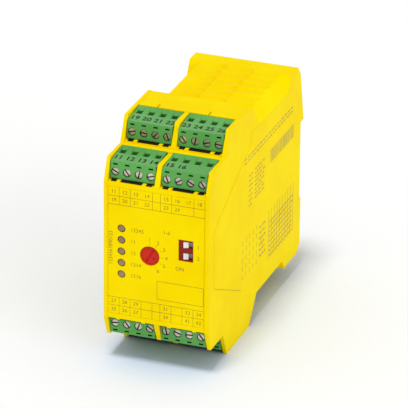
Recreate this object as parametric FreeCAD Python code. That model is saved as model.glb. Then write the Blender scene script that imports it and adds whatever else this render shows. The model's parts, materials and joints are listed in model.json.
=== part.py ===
import FreeCAD, Part
import math
import os

# Safety relay in a 45 mm wide housing for a 35 mm mounting rail.
#
# Frame: +X to the right and +Z up, seen from the front; +Y runs from the front face to the
# rail.  The origin is the middle of the rail seat.  Depths below count from the front face,
# so a point at depth d lies at y = d - SEAT_DEPTH.  Top and bottom mirror each other about z = 0.
# All sizes are in millimetres.

# ---- walls and fits
WALL = 1.7                 # side walls, roof, bottom and rear wall of the housing
COVER_WALL = 1.6
COVER_GAP = 0.05           # cover, headers and panel against what holds them
FIT_GAP = 0.3              # air between pieces that move past each other
HOLE_GAP = 0.1             # round a lamp, a coding switch or a slide
OVERSHOOT = 1.0            # cuts run this far past the faces they open
BITE = 0.2                 # joined pieces reach this far into each other
FAR = 200.0                # beyond the whole device

# ---- terminal plugs: four poles each, two tiers, two side by side
POLE_COUNT = 4
POLE_PITCH = 5.0
PLUG_TRIM = 0.8            # a plug is this much narrower than its poles' pitches
PLUG_SIDE_GAP = 0.275      # plug to divider and to side wall
PLUG_DEPTH = 13.7
PLUG_LEAN = 0.9            # the screw face leans back by this much
PLUG_FACE = 7.05           # height of the screw face
PLUG_RISE = 1.5            # the top climbs towards the rear
PLUG_GAP = 0.7             # cover floor to plug
PLUG_BACK_GAP = 0.3
PLUG_SETBACK = 1.8         # plug behind the floor's front edge
TONGUE_LENGTH = 4.5
TONGUE_LOW = 1.0
TONGUE_HEIGHT = 4.2
TONGUE_INSET = 0.8
CONTACT_SIZE = 1.0
CONTACT_HOLE = 1.7
SCREW_RISE = 2.68          # screw axis above the plug's lower edge
SCREW_HOLE_R = 1.75
SCREW_HEAD_R = 1.5
SCREW_HEAD_HEIGHT = 1.5
SCREW_SINK = 0.5           # head behind the screw face
SCREW_SHANK_R = 0.9
SCREW_LENGTH = 8.2
SCREW_SLOT = 0.6
SCREW_SLOT_DEPTH = 0.8
SCREW_TURNS = (-62, -35, 12, 74, 95, 38, -20, 58)   # how the slots happen to stand, degrees
HEAD_SIDES = 12            # flats that stand for a circle on shapes that repeat
SHANK_SIDES = 6
MARK_WIDTH = 1.9           # small recess over each screw
MARK_HEIGHT = 0.7
MARK_RISE = 5.85
MARK_DEEP = 1.0
FUNNEL_WIDTH = 3.5         # wire funnel at the plug's top
FUNNEL_START = 7.5         # behind the marking strip
FUNNEL_END = 13.2
FUNNEL_DEEP = 0.9
SHAFT_WIDTH = 2.4          # wire shaft under the funnel
SHAFT_LENGTH = 3.5
CLAMP_WIDTH = 3.4
CLAMP_DEPTH = 4.6
CLAMP_HEIGHT = 3.6
CLAMP_WALL = 0.7
CLAMP_LEAD = 0.95          # the clamp begins this far in front of the wire shaft
CHAMBER_GAP = 0.15
THREAD_GAP = 0.05

# ---- front cover and its parts
PANEL_SET = 0.3            # panel and cover lie behind the side walls' front edges
PANEL_THICK = 1.2
PANEL_FRAME = 2.15         # cover edge above and below the panel
PANEL_SIDE_FRAME = 0.5
PANEL_LEDGE = 3.4          # the cover reaches this far behind the panel, above and below
PANEL_SIDE_LEDGE = 2.8
LEDGE_LENGTH = 2.6         # ledge behind the front plugs
LEDGE_STEP = 0.75          # that ledge lies this much under the rear plugs' floor
TIER_RISE = 9.7            # the rear plugs' floor lies this much higher than the front plugs'
LID_STEP = 0.3             # rear plugs under the lid
LID_DROP = 0.2             # lid under the side walls' ridge
DIVIDER = 2.1
DIVIDER_INSET = 0.5
TAB_X = 5.4                # small tabs under each plug, either side of its middle
TAB_WIDTH = 1.6
TAB_GAP = 0.2
TRAY_LEAD = 1.5            # the header's tray stands this far out under the plug
TRAY_INSET = 0.2
HEADER_WALL = 1.0
HEADER_DEPTH = 7.6
SOCKET_FLOOR = 2.0
SLIT_X = -1.8              # release slit behind each rear plug, from its middle
SLIT_WIDTH = 0.5
SLIT_LENGTH = 3.6
SLIT_DEEP = 1.0

# ---- housing outline, seen from the side
HALF_HEIGHT = 49.5         # mid-height to the upper ridge
SEAT_DEPTH = 111.4         # front edge to the face that bears on the rail
FACE_RIM = 0.15            # the walls' front corner stands this much over the front floor
STEP1_RUN = 3.7            # front tier: length of the wall's slope
STEP2_RUN = 5.0            # rear tier
NOTCH_LEAD = 0.8           # the rear slope begins this far in front of the rear floor
RIDGE_ROOM = 4.05          # rear headers to the cover's rear wall
KNEE_RUN = 9.6             # the walls drop from the ridge to the knee over this length
KNEE_HALF = 37.6           # side wall edge along the bevels
ROOF_HALF = 44.0           # roof and bottom between the bevels
BEVEL_WIDTH = 4.9
RIM_BACK = 5.4             # the upright rim ends this far in front of the seat
RIM_LENGTH = 7.5
RIM_RUN = 3.5              # the bevels rise to the rim over this length
BROW_BACK = 1.7            # corner between rim and hook
BROW_HALF = 40.0
FOOT_BACK = 12.9           # the bottom reaches the latch foot this far in front of the seat
FOOT_RUN = 8.5
FOOT_SLOPE = 4.0
FOOT_HALF = 41.9
FOOT_RADIUS = 3.4

# ---- louvres of the roof
LOUVRE_COUNT = 7
LOUVRE_LEAD = 2.6          # ridge to the first louvre
LOUVRE_TAIL = 0.3          # last louvre to the rim
LOUVRE_DROP = 0.9
LOUVRE_CLIMB = 0.5         # each louvre climbs again over this length
RIB_X = 5.9                # ribs that part the louvres into three columns
RIB_WIDTH = 0.6

# ---- raised field of each side wall
FIELD_DEPTH = 6.2          # front edge of the field
FIELD_HALF = 12.8          # half the height of that edge; it widens to the knees
FIELD_STEP = 0.2           # how far the border round it lies lower

# ---- rail grip
RAIL_HALF = 17.5           # half of the 35 mm rail
RAIL_THICK = 1.0
RAIL_GAP = 0.2
GRIP = 1.9                 # how far hook and latch reach behind the rail
HOOK_THICK = 1.9
HOOK_LEAD = 0.7            # bevel at the tip of hook and latch
HOOK_INSET = 3.0           # hook to side wall
SEAT_RELIEF = 0.5          # the walls round the seat pad lie this much deeper inside
SEAT_PAD_HALF = 15.0
LATCH_TRAVEL = 3.0
LATCH_HALF_WIDTH = 6.0
LATCH_WING = 1.5
LATCH_THICK = 3.4
LATCH_WING_THICK = 1.4
LATCH_TOP_GAP = 0.6        # latch under the rail's lower edge
LATCH_TAIL = 4.6           # the latch stands out under the foot
NOSE_ROOT = 5.0            # height of the latch's nose at its root
NOSE_SLOPE = 1.0
EYE_HALF_WIDTH = 3.0       # eye for a screwdriver
EYE_HEIGHT = 2.0
EYE_EDGE = 1.2
WINDOW_HALF = 2.6          # window of the latch, which holds its spring
WINDOW_EDGE = 4.0
WINDOW_HEIGHT = 13.0
PEG_LIFT = 1.2             # peg over the window's lower edge
PEG_HEIGHT = 1.6
PEG_GAP = 1.0
SPRING_THICK = 0.4
SPRING_DEPTH = 1.2
SPRING_TURNS = 4

# ---- indicators
LED_COUNT = 5
LED_PITCH = 5.03
LED_INSET = 5.4            # from the panel's left edge
LED_R = 1.65
LED_SINK = 0.4             # lens behind the panel's face
LED_BEVEL = 0.3
LED_FLANGE_R = 2.2
LED_FLANGE = 0.6
LED_PIPE_R = 1.3
LED_SIDES = 16             # flats that stand for a circle

# ---- rotary switch
KNOB_X = -2.8
KNOB_R = 3.9
KNOB_GAP = 0.25
KNOB_THICK = 3.2
KNOB_RIM = 0.45            # raised edge round the knob's face
KNOB_FACE_SINK = 0.25
KNOB_SLOT = 0.9
KNOB_SLOT_HALF = 3.0
KNOB_SLOT_DEPTH = 0.5
POINTER_TIP = 2.8          # from the middle
POINTER_LENGTH = 1.1
POINTER_HALF = 0.6
POINTER_DEEP = 0.3
KNOB_SHAFT_R = 1.5
KNOB_POINTER_ANGLE = 120.0 # clockwise from the top, at position 5 of 6
SHAFT_CLEARANCE = 0.05
SHAFT_END = 1.0            # shaft to front board
ROTARY_SIZE = 9.6

# ---- coding switch with two slides
DIP_INSET = 7.8            # from the panel's right edge
DIP_Z = 4.7
DIP_WIDTH = 6.3
DIP_HEIGHT = 9.4
DIP_PITCH = 5.0
DIP_FACE_SINK = 0.5
DIP_BASE_MARGIN = 0.9
SLOT_LENGTH = 4.0
SLOT_HEIGHT = 2.7
SLOT_DEEP = 1.9
SLOT_EDGE = 0.3
LEVER_WIDTH = 1.9
LEVER_PROUD = 0.3
LEVER_RIDGE = 1.05         # width of the lever's higher step
LEVER_STEP = 0.4

# ---- boards and the parts on them
BOARD_THICK = 1.6
FRONT_BOARD_DEPTH = 10.0
BOARD_ROOM = 0.85          # terminal board under the cover
BOARD_LEAD = 0.45          # headers in front of the terminal board's edge
BOARD_BACK = 9.4           # terminal board to the seat
BOARD_EDGE_GAP = 0.4
PIN_HOLE_GAP = 0.15
PIN_BEND = 1.5             # pins turn down this far behind the headers
PIN_TAIL = 1.0             # under the board
RELAY_WIDTH = 12.6
RELAY_LENGTH = 40.0
RELAY_HEIGHT = 16.5
RELAY_BACK = 15.4          # relays to the seat
RELAY_X = 8.0
RELAY_CORNER = 1.0
TRANSFORMER_WIDTH = 20.0
TRANSFORMER_LENGTH = 15.5
TRANSFORMER_HEIGHT = 15.0
TRANSFORMER_START = 28.0
CORE_LENGTH = 7.8
COIL_WIDTH = 12.0
COIL_HEIGHT = 10.5
CAPACITOR_R = 6.0
CAPACITOR_HEIGHT = 15.0
CAPACITOR_DEPTH = 35.5     # middle of the cans
CAPACITOR_X = 8.0
LINK_WIDTH = 12.0
LINK_HEIGHT = 2.5
LINK_OVERLAP = 4.0         # on the terminal board

# ---- what follows from these
PLUG_WIDTH = POLE_COUNT * POLE_PITCH - PLUG_TRIM
PLUG_CENTRE_X = DIVIDER / 2.0 + PLUG_SIDE_GAP + PLUG_WIDTH / 2.0
X_IN = DIVIDER / 2.0 + PLUG_WIDTH + 2.0 * PLUG_SIDE_GAP      # inner face of a side wall
X_OUT = X_IN + WALL                                          # 45 mm over both walls
TONGUE_WIDTH = PLUG_WIDTH - 2.0 * TONGUE_INSET
CLAMP_START = FUNNEL_START - CLAMP_LEAD
CLAMP_LOW = SCREW_RISE - CLAMP_HEIGHT / 2.0

PLUG_ROOM = PLUG_SETBACK + PLUG_DEPTH + PLUG_BACK_GAP        # depth of a plug's place
FLOOR_START = (PANEL_SET, PANEL_SET + PLUG_ROOM + LEDGE_LENGTH)
FLOOR_END = (FLOOR_START[0] + PLUG_ROOM, FLOOR_START[1] + PLUG_ROOM)
COVER_LID = HALF_HEIGHT - LID_DROP
REAR_FLOOR = COVER_LID - LID_STEP - PLUG_RISE - PLUG_FACE - PLUG_GAP
FLOOR = (REAR_FLOOR - TIER_RISE, REAR_FLOOR)                 # height of each tier's floor
LEDGE = REAR_FLOOR - LEDGE_STEP                              # and the walls' level edge
FACE_HALF = FLOOR[0] + FACE_RIM
NOTCH_DEPTH = FLOOR_START[1] - NOTCH_LEAD
STEP2_DEPTH = NOTCH_DEPTH + STEP2_RUN
PANEL_HALF_WIDTH = X_IN - PANEL_SIDE_FRAME
PANEL_HALF_HEIGHT = FLOOR[0] - PANEL_FRAME
BAY_HALF_WIDTH = PANEL_HALF_WIDTH - PANEL_SIDE_LEDGE         # opening behind the panel
BAY_HALF_HEIGHT = PANEL_HALF_HEIGHT - PANEL_LEDGE
LED_X = LED_INSET - PANEL_HALF_WIDTH
DIP_X = PANEL_HALF_WIDTH - DIP_INSET
DIP_FACE = PANEL_SET + DIP_FACE_SINK
SLOT_START = DIP_X + DIP_WIDTH / 2.0 - SLOT_EDGE - SLOT_LENGTH

HEADER_START = (FLOOR_END[0] + COVER_WALL + COVER_GAP, FLOOR_END[1] + COVER_WALL + COVER_GAP)
RIDGE_DEPTH = HEADER_START[1] + HEADER_DEPTH + RIDGE_ROOM + COVER_WALL
KNEE_DEPTH = RIDGE_DEPTH + KNEE_RUN
RIM_END_DEPTH = SEAT_DEPTH - RIM_BACK
RIM_DEPTH = RIM_END_DEPTH - RIM_LENGTH
RIM_RISE_DEPTH = RIM_DEPTH - RIM_RUN
FOOT_DEPTH = SEAT_DEPTH - FOOT_BACK
FOOT_RISE_DEPTH = FOOT_DEPTH - FOOT_RUN
LOUVRE_START = RIDGE_DEPTH + LOUVRE_LEAD
LOUVRE_END = RIM_DEPTH - LOUVRE_TAIL
REACH = RAIL_HALF - GRIP
BEHIND_RAIL = SEAT_DEPTH + RAIL_THICK + RAIL_GAP
HOOK_DEPTH = BEHIND_RAIL + HOOK_THICK
SEAT_WALL = SEAT_DEPTH - SEAT_RELIEF
BOARD_Z = FLOOR[0] - COVER_WALL - BOARD_ROOM - BOARD_THICK   # inner face of a terminal board
BOARD_START = HEADER_START[0] + BOARD_LEAD
BOARD_END = SEAT_DEPTH - BOARD_BACK

LATCH_TOP = -RAIL_HALF - RAIL_GAP - LATCH_TOP_GAP
LATCH_BOTTOM = -FOOT_HALF - LATCH_TAIL
CHANNEL_TOP = LATCH_TOP + FIT_GAP
CHANNEL_BACK = SEAT_DEPTH + RAIL_THICK
CHANNEL_FRONT = CHANNEL_BACK - LATCH_THICK - 2.0 * FIT_GAP
LATCH_FRONT = CHANNEL_FRONT + FIT_GAP
WINDOW_TOP = LATCH_TOP - WINDOW_EDGE
WINDOW_BOTTOM = WINDOW_TOP - WINDOW_HEIGHT


def vector(x, depth, z):
    return FreeCAD.Vector(x, depth - SEAT_DEPTH, z)


def block(x0, x1, depth0, depth1, z0, z1):
    """Box between two opposite corners."""
    return Part.makeBox(x1 - x0, depth1 - depth0, z1 - z0, vector(x0, depth0, z0))


def side_prism(outline, x0, x1):
    """Solid with an outline of (depth, z) points, from x0 to x1."""
    points = [vector(x0, depth, z) for depth, z in outline]
    face = Part.Face(Part.makePolygon(points + points[:1]))
    return face.extrude(FreeCAD.Vector(x1 - x0, 0, 0))


def front_prism(outline, depth0, depth1):
    """Solid with an outline of (x, z) points, from one depth to another."""
    points = [vector(x, depth0, z) for x, z in outline]
    face = Part.Face(Part.makePolygon(points + points[:1]))
    return face.extrude(FreeCAD.Vector(0, depth1 - depth0, 0))


def rod(radius, x, z, depth0, depth1):
    """Round bar along the depth."""
    return Part.makeCylinder(radius, depth1 - depth0, vector(x, depth0, z), FreeCAD.Vector(0, 1, 0))


def many_sided(radius, sides, x, z):
    """Corners of a regular ring of (x, z) points, with a flat at the top."""
    turns = [(index + 0.5) * 2.0 * math.pi / sides for index in range(sides)]
    return [(x + radius * math.sin(turn), z + radius * math.cos(turn)) for turn in turns]


def flat_rod(radius, sides, x, z, depth0, depth1):
    """Bar along the depth with flats in place of the round, for shapes that repeat."""
    return front_prism(many_sided(radius, sides, x, z), depth0, depth1)


def upside_down(shape):
    """Copy mirrored from the top half into the bottom half."""
    return shape.mirror(FreeCAD.Vector(0, 0, 0), FreeCAD.Vector(0, 0, 1))


def mirrored_left(shape):
    return shape.mirror(FreeCAD.Vector(0, 0, 0), FreeCAD.Vector(1, 0, 0))


def with_mirror(outline):
    """Outline of the top half, closed through the bottom half."""
    return outline + [(depth, -z) for depth, z in reversed(outline)]


def both_halves(shape):
    return [shape, upside_down(shape)]


def joined(shapes):
    return shapes[0].multiFuse(shapes[1:]).removeSplitter()


def stepped_edge(inset):
    """Front edge of the side walls above mid-height, set back and lowered by inset."""
    return [
        (inset, FACE_HALF),
        (STEP1_RUN + inset, LEDGE - inset),
        (NOTCH_DEPTH + inset, LEDGE - inset),
        (STEP2_DEPTH + inset, HALF_HEIGHT - inset),
        (RIDGE_DEPTH, HALF_HEIGHT - inset),
    ]


# ---------------------------------------------------------------- housing shell

def rear_outline():
    """Rear of the housing from the rim over the hook and the seat down to the foot."""
    return [
        (RIM_END_DEPTH, ROOF_HALF),
        (SEAT_DEPTH - BROW_BACK, BROW_HALF),
        (HOOK_DEPTH, RAIL_HALF),
        (SEAT_WALL, RAIL_HALF),
        (SEAT_WALL, -RAIL_HALF - RAIL_GAP),
        (CHANNEL_BACK, -RAIL_HALF - RAIL_GAP),
        (CHANNEL_BACK, FOOT_RADIUS - FOOT_HALF),
        (CHANNEL_BACK - FOOT_RADIUS, -FOOT_HALF),
        (FOOT_DEPTH, -FOOT_HALF),
    ]


def wall_outline():
    """Whole side wall."""
    front = stepped_edge(0.0) + [(KNEE_DEPTH, KNEE_HALF)]
    bottom = [(depth, -z) for depth, z in reversed(front)]
    rim = [(RIM_RISE_DEPTH, KNEE_HALF), (RIM_DEPTH, ROOF_HALF)]
    foot = [(FOOT_RISE_DEPTH, -KNEE_HALF)]
    return front + rim + rear_outline() + foot + bottom


def core_outline():
    """Closed rear part between the side walls."""
    start = RIDGE_DEPTH + COVER_GAP
    foot = [(FOOT_RISE_DEPTH + FOOT_SLOPE, -FOOT_HALF), (FOOT_RISE_DEPTH, -ROOF_HALF), (start, -ROOF_HALF)]
    return [(start, ROOF_HALF)] + rear_outline() + foot


def cavity_outline():
    """Hollow of the rear part, one wall inside its outline."""
    start = RIDGE_DEPTH - OVERSHOOT
    top = ROOF_HALF - WALL - LOUVRE_DROP
    back = SEAT_WALL - WALL
    return [
        (start, top),
        (RIM_END_DEPTH - WALL, top),
        (SEAT_DEPTH - 2.0 * WALL, KNEE_HALF),
        (back, RAIL_HALF),
        (back, WALL - FOOT_HALF),
        (FOOT_RISE_DEPTH + FOOT_SLOPE, WALL - FOOT_HALF),
        (FOOT_RISE_DEPTH, -top),
        (start, -top),
    ]


def bevel_cut(end_low, end_high, inset):
    """Wedge that takes the right upper edge off the core, shifted inwards by inset."""
    drop = ROOF_HALF - KNEE_HALF
    slope = BEVEL_WIDTH / drop
    low = KNEE_HALF - inset
    high = ROOF_HALF + WALL
    wide = X_OUT + OVERSHOOT
    outline = [(wide, low - OVERSHOOT / slope), (wide, high), (X_OUT - slope * (high - low), high)]
    run = (end_high - end_low) / drop
    reach = [(0.0, 0.0), (end_low - run * KNEE_HALF, 0.0),
             (end_low + run * (high - KNEE_HALF), high), (0.0, high)]
    return front_prism(outline, 0.0, FAR).common(side_prism(reach, 0.0, wide))


def housing_core():
    """Roof, bottom and rear with bevelled edges, and the hollow inside."""
    core = side_prism(core_outline(), -X_OUT, X_OUT)
    top_bevel = bevel_cut(RIM_RISE_DEPTH, RIM_DEPTH, 0.0)
    bottom_bevel = upside_down(bevel_cut(FOOT_RISE_DEPTH, FOOT_RISE_DEPTH + FOOT_SLOPE, 0.0))
    core = core.cut([top_bevel, mirrored_left(top_bevel), bottom_bevel, mirrored_left(bottom_bevel)])
    cavity = side_prism(cavity_outline(), -X_IN, X_IN)
    slant = math.hypot(ROOF_HALF - KNEE_HALF, BEVEL_WIDTH) / BEVEL_WIDTH
    inner_bevel = bevel_cut(FAR, FAR, WALL * slant)
    return core.cut(cavity.cut(both_halves(inner_bevel) + both_halves(mirrored_left(inner_bevel))))


def louvre_cuts():
    """Saw-tooth cuts: each louvre falls towards the rear and climbs again, between the ribs."""
    cuts = []
    high = ROOF_HALF + OVERSHOOT
    pitch = (LOUVRE_END - LOUVRE_START) / LOUVRE_COUNT
    half_rib = RIB_WIDTH / 2.0
    columns = [(-X_OUT, -RIB_X - half_rib), (half_rib - RIB_X, RIB_X - half_rib), (RIB_X + half_rib, X_OUT)]
    for index in range(LOUVRE_COUNT):
        start = LOUVRE_START + index * pitch
        end = start + pitch
        outline = [(start, high), (start, ROOF_HALF), (end - LOUVRE_CLIMB, ROOF_HALF - LOUVRE_DROP),
                   (end, ROOF_HALF), (end, high)]
        cuts += [side_prism(outline, x0, x1) for x0, x1 in columns]
    return cuts


def side_wall(side):
    """One full-height wall, with the border round its raised field cut lower."""
    outer = side * X_OUT
    past = outer + side * OVERSHOOT
    wall = side_prism(wall_outline(), side * X_IN, outer)
    high = KNEE_HALF + HALF_HEIGHT
    field = [(FIELD_DEPTH, FIELD_HALF), (KNEE_DEPTH, KNEE_HALF), (HOOK_DEPTH, high),
             (HOOK_DEPTH, -high), (KNEE_DEPTH, -KNEE_HALF), (FIELD_DEPTH, -FIELD_HALF)]
    skin = side_prism([(-OVERSHOOT, -FAR), (KNEE_DEPTH, -FAR), (KNEE_DEPTH, FAR), (-OVERSHOOT, FAR)],
                      outer - side * FIELD_STEP, past)
    return wall.cut(skin.cut(side_prism(field, outer - side * OVERSHOOT, past + side * OVERSHOOT)))


def rail_hook():
    """Lip on the rear that hangs over the rail's upper edge, between the side walls."""
    half = X_IN - HOOK_INSET
    high = RAIL_HALF + BITE
    lip = [(BEHIND_RAIL, REACH), (HOOK_DEPTH - HOOK_LEAD, REACH), (HOOK_DEPTH - BITE, REACH + HOOK_LEAD),
           (HOOK_DEPTH - BITE, high), (BEHIND_RAIL, high)]
    return side_prism(lip, -half, half)


def seat_pad():
    """Raised pad on the rear wall that bears on the rail."""
    return block(-X_IN, X_IN, SEAT_WALL - BITE, SEAT_DEPTH, -SEAT_PAD_HALF, SEAT_PAD_HALF)


def latch_channel(gap):
    """T-shaped run of the latch, grown by gap on each side."""
    wide = LATCH_HALF_WIDTH + LATCH_WING + gap
    narrow = LATCH_HALF_WIDTH + gap
    front = LATCH_FRONT - gap
    wing_back = LATCH_FRONT + LATCH_WING_THICK + gap
    low = LATCH_BOTTOM - OVERSHOOT
    wings = block(-wide, wide, front, wing_back, low, CHANNEL_TOP)
    stem = block(-narrow, narrow, front, CHANNEL_BACK + OVERSHOOT, low, CHANNEL_TOP)
    return wings.fuse(stem)


def channel_walls():
    half = LATCH_HALF_WIDTH + LATCH_WING + FIT_GAP + WALL
    return block(-half, half, CHANNEL_FRONT - WALL, CHANNEL_BACK, -FOOT_HALF, CHANNEL_TOP + WALL)


def spring_peg():
    """Peg on the channel's floor that carries the latch spring, inside the latch's window."""
    half = WINDOW_HALF - FIT_GAP
    low = WINDOW_BOTTOM + PEG_LIFT
    return block(-half, half, CHANNEL_FRONT - BITE, CHANNEL_BACK - PEG_GAP, low, low + PEG_HEIGHT)


def housing_shell():
    core = housing_core().cut(louvre_cuts())
    shell = joined([core, side_wall(-1), side_wall(1), channel_walls(), seat_pad(), rail_hook()])
    return joined([shell.cut(latch_channel(FIT_GAP)), spring_peg()])


# ---------------------------------------------------------------- rail latch

def rail_latch():
    """Slide with wings in the channel, a nose behind the rail and an eye for a screwdriver."""
    wide = LATCH_HALF_WIDTH + LATCH_WING
    before = LATCH_FRONT - OVERSHOOT
    back = CHANNEL_BACK - HOLE_GAP
    wings = block(-wide, wide, LATCH_FRONT, LATCH_FRONT + LATCH_WING_THICK,
                  LATCH_TRAVEL - FOOT_HALF, LATCH_TOP)
    stem = block(-LATCH_HALF_WIDTH, LATCH_HALF_WIDTH, LATCH_FRONT, back, LATCH_BOTTOM, LATCH_TOP)
    root = LATCH_TOP - NOSE_ROOT
    outline = [(back - BITE, root), (HOOK_DEPTH, root + NOSE_SLOPE), (HOOK_DEPTH, -REACH - HOOK_LEAD),
               (HOOK_DEPTH - HOOK_LEAD, -REACH), (BEHIND_RAIL, -REACH), (BEHIND_RAIL, LATCH_TOP),
               (back - BITE, LATCH_TOP)]
    nose = side_prism(outline, -LATCH_HALF_WIDTH, LATCH_HALF_WIDTH)
    window = block(-WINDOW_HALF, WINDOW_HALF, before, FAR, WINDOW_BOTTOM, WINDOW_TOP)
    eye_low = LATCH_BOTTOM + EYE_EDGE
    eye = block(-EYE_HALF_WIDTH, EYE_HALF_WIDTH, before, FAR, eye_low, eye_low + EYE_HEIGHT)
    return joined([wings, stem, nose]).cut([window, eye])


def latch_spring():
    """Flat meander of spring wire between the peg and the top of the latch's window."""
    low = spring_peg().BoundBox.ZMax
    pitch = (WINDOW_TOP - low - SPRING_THICK) / (2.0 * SPRING_TURNS)
    half = WINDOW_HALF - FIT_GAP
    depth0 = LATCH_FRONT + FIT_GAP
    depth1 = depth0 + SPRING_DEPTH
    pieces = []
    for index in range(2 * SPRING_TURNS + 1):
        z = low + index * pitch
        pieces.append(block(-half, half, depth0, depth1, z, z + SPRING_THICK))
    for index in range(2 * SPRING_TURNS):
        x = half - SPRING_THICK if index % 2 else -half
        z = low + index * pitch
        pieces.append(block(x, x + SPRING_THICK, depth0, depth1, z, z + pitch + SPRING_THICK))
    return joined(pieces)


# ---------------------------------------------------------------- terminal plugs

def pole_offsets():
    first = -(POLE_COUNT - 1) / 2.0 * POLE_PITCH
    return [first + index * POLE_PITCH for index in range(POLE_COUNT)]


def pole_positions():
    return [side * PLUG_CENTRE_X + offset for side in (-1, 1) for offset in pole_offsets()]


def plug_low(tier):
    return FLOOR[tier] + PLUG_GAP


def plug_front(tier):
    return FLOOR_START[tier] + PLUG_SETBACK


def plug_top(tier):
    return plug_low(tier) + PLUG_FACE + PLUG_RISE


def face_depth(tier, rise):
    """Depth of the leaning screw face at some height above the plug's lower edge."""
    return plug_front(tier) + PLUG_LEAN * rise / PLUG_FACE


def plug_body(tier, centre):
    """Moulded plug: leaning screw face, wire funnels on top, tongue with contact holes behind."""
    low = plug_low(tier)
    front = plug_front(tier)
    back = front + PLUG_DEPTH
    half = PLUG_WIDTH / 2.0
    outline = [(front, low), (front + PLUG_LEAN, low + PLUG_FACE), (back, plug_top(tier)), (back, low)]
    body = side_prism(outline, centre - half, centre + half)
    tongue_half = TONGUE_WIDTH / 2.0
    tongue = block(centre - tongue_half, centre + tongue_half, back - BITE, back + TONGUE_LENGTH,
                   low + TONGUE_LOW, low + TONGUE_LOW + TONGUE_HEIGHT)
    cuts = []
    for offset in pole_offsets():
        cuts += front_cuts(tier, centre + offset) + wire_cuts(tier, centre + offset)
    return body.fuse(tongue).removeSplitter().cut(cuts)


def front_cuts(tier, x):
    """Screw hole and the small mark over it."""
    front = plug_front(tier)
    level = plug_low(tier) + SCREW_RISE
    hole = flat_rod(SCREW_HOLE_R, HEAD_SIDES, x, level, front - OVERSHOOT, front + CLAMP_START)
    mark_low = plug_low(tier) + MARK_RISE - MARK_HEIGHT / 2.0
    mark_back = face_depth(tier, MARK_RISE) + MARK_DEEP
    half = MARK_WIDTH / 2.0
    mark = block(x - half, x + half, front - OVERSHOOT, mark_back, mark_low, mark_low + MARK_HEIGHT)
    return [hole, mark]


def level_ring(half_width, x, depth0, depth1, z):
    """Level rectangle as a closed wire."""
    corners = [vector(x - half_width, depth0, z), vector(x + half_width, depth0, z),
               vector(x + half_width, depth1, z), vector(x - half_width, depth1, z)]
    return Part.makePolygon(corners + corners[:1])


def wire_cuts(tier, x):
    """Tapered funnel, wire shaft, room for the clamp and contact hole of one pole."""
    low = plug_low(tier)
    front = plug_front(tier)
    top = plug_top(tier)
    start = front + FUNNEL_START
    shaft_end = start + SHAFT_LENGTH
    bottom = level_ring(SHAFT_WIDTH / 2.0, x, start, shaft_end, top - FUNNEL_DEEP)
    mouth = level_ring(FUNNEL_WIDTH / 2.0, x, start, front + FUNNEL_END, top)
    funnel = Part.makeLoft([bottom, mouth], True, True)
    half_shaft = SHAFT_WIDTH / 2.0
    half_room = CLAMP_WIDTH / 2.0 + CHAMBER_GAP
    room_start = front + CLAMP_START - CHAMBER_GAP
    room_end = front + CLAMP_START + CLAMP_DEPTH + CHAMBER_GAP
    room = block(x - half_room, x + half_room, room_start, room_end,
                 low + CLAMP_LOW - CHAMBER_GAP, low + CLAMP_LOW + CLAMP_HEIGHT + CHAMBER_GAP)
    shaft = block(x - half_shaft, x + half_shaft, start, shaft_end,
                  low + CLAMP_LOW + BITE, top - FUNNEL_DEEP)
    hole = CONTACT_HOLE / 2.0
    middle = low + TONGUE_LOW + TONGUE_HEIGHT / 2.0
    contact = block(x - hole, x + hole, room_end - BITE, front + FAR, middle - hole, middle + hole)
    return [funnel, shaft, room, contact]


def plug_screws(tier, centre, first_turn):
    """Four clamping screws with slotted heads."""
    face = face_depth(tier, SCREW_RISE) + SCREW_SINK
    level = plug_low(tier) + SCREW_RISE
    neck = face + SCREW_HEAD_HEIGHT - BITE
    half = SCREW_SLOT / 2.0
    screws = []
    for index, offset in enumerate(pole_offsets()):
        x = centre + offset
        head = flat_rod(SCREW_HEAD_R, HEAD_SIDES, x, level, face, face + SCREW_HEAD_HEIGHT)
        shank = flat_rod(SCREW_SHANK_R, SHANK_SIDES, x, level, neck, face + SCREW_LENGTH)
        slot = block(x - half, x + half, face - OVERSHOOT, face + SCREW_SLOT_DEPTH,
                     level - SCREW_HOLE_R, level + SCREW_HOLE_R)
        turn = SCREW_TURNS[(first_turn + index) % len(SCREW_TURNS)]
        slot.rotate(vector(x, face, level), FreeCAD.Vector(0, 1, 0), turn)
        screws.append(head.fuse(shank).cut(slot))
    return Part.makeCompound(screws)


def plug_clamps(tier, centre):
    """Four clamping cages, each a ring round the wire with a threaded front wall."""
    low = plug_low(tier) + CLAMP_LOW
    high = low + CLAMP_HEIGHT
    start = plug_front(tier) + CLAMP_START
    end = start + CLAMP_DEPTH
    half = CLAMP_WIDTH / 2.0
    thread_r = SCREW_SHANK_R + THREAD_GAP
    level = plug_low(tier) + SCREW_RISE
    cages = []
    for offset in pole_offsets():
        x = centre + offset
        cage = block(x - half, x + half, start, end, low, high)
        window = block(x - half + CLAMP_WALL, x + half - CLAMP_WALL, start + CLAMP_WALL, end - CLAMP_WALL,
                       low - OVERSHOOT, high + OVERSHOOT)
        thread = flat_rod(thread_r, SHANK_SIDES, x, level, start - OVERSHOOT, start + CLAMP_WALL + BITE)
        cages.append(cage.cut([window, thread]))
    return Part.makeCompound(cages)


# ---------------------------------------------------------------- headers behind the plugs

def pin_level(tier):
    return plug_low(tier) + TONGUE_LOW + TONGUE_HEIGHT / 2.0


def mouth_top(tier):
    return plug_low(tier) + TONGUE_LOW + TONGUE_HEIGHT + FIT_GAP


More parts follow.
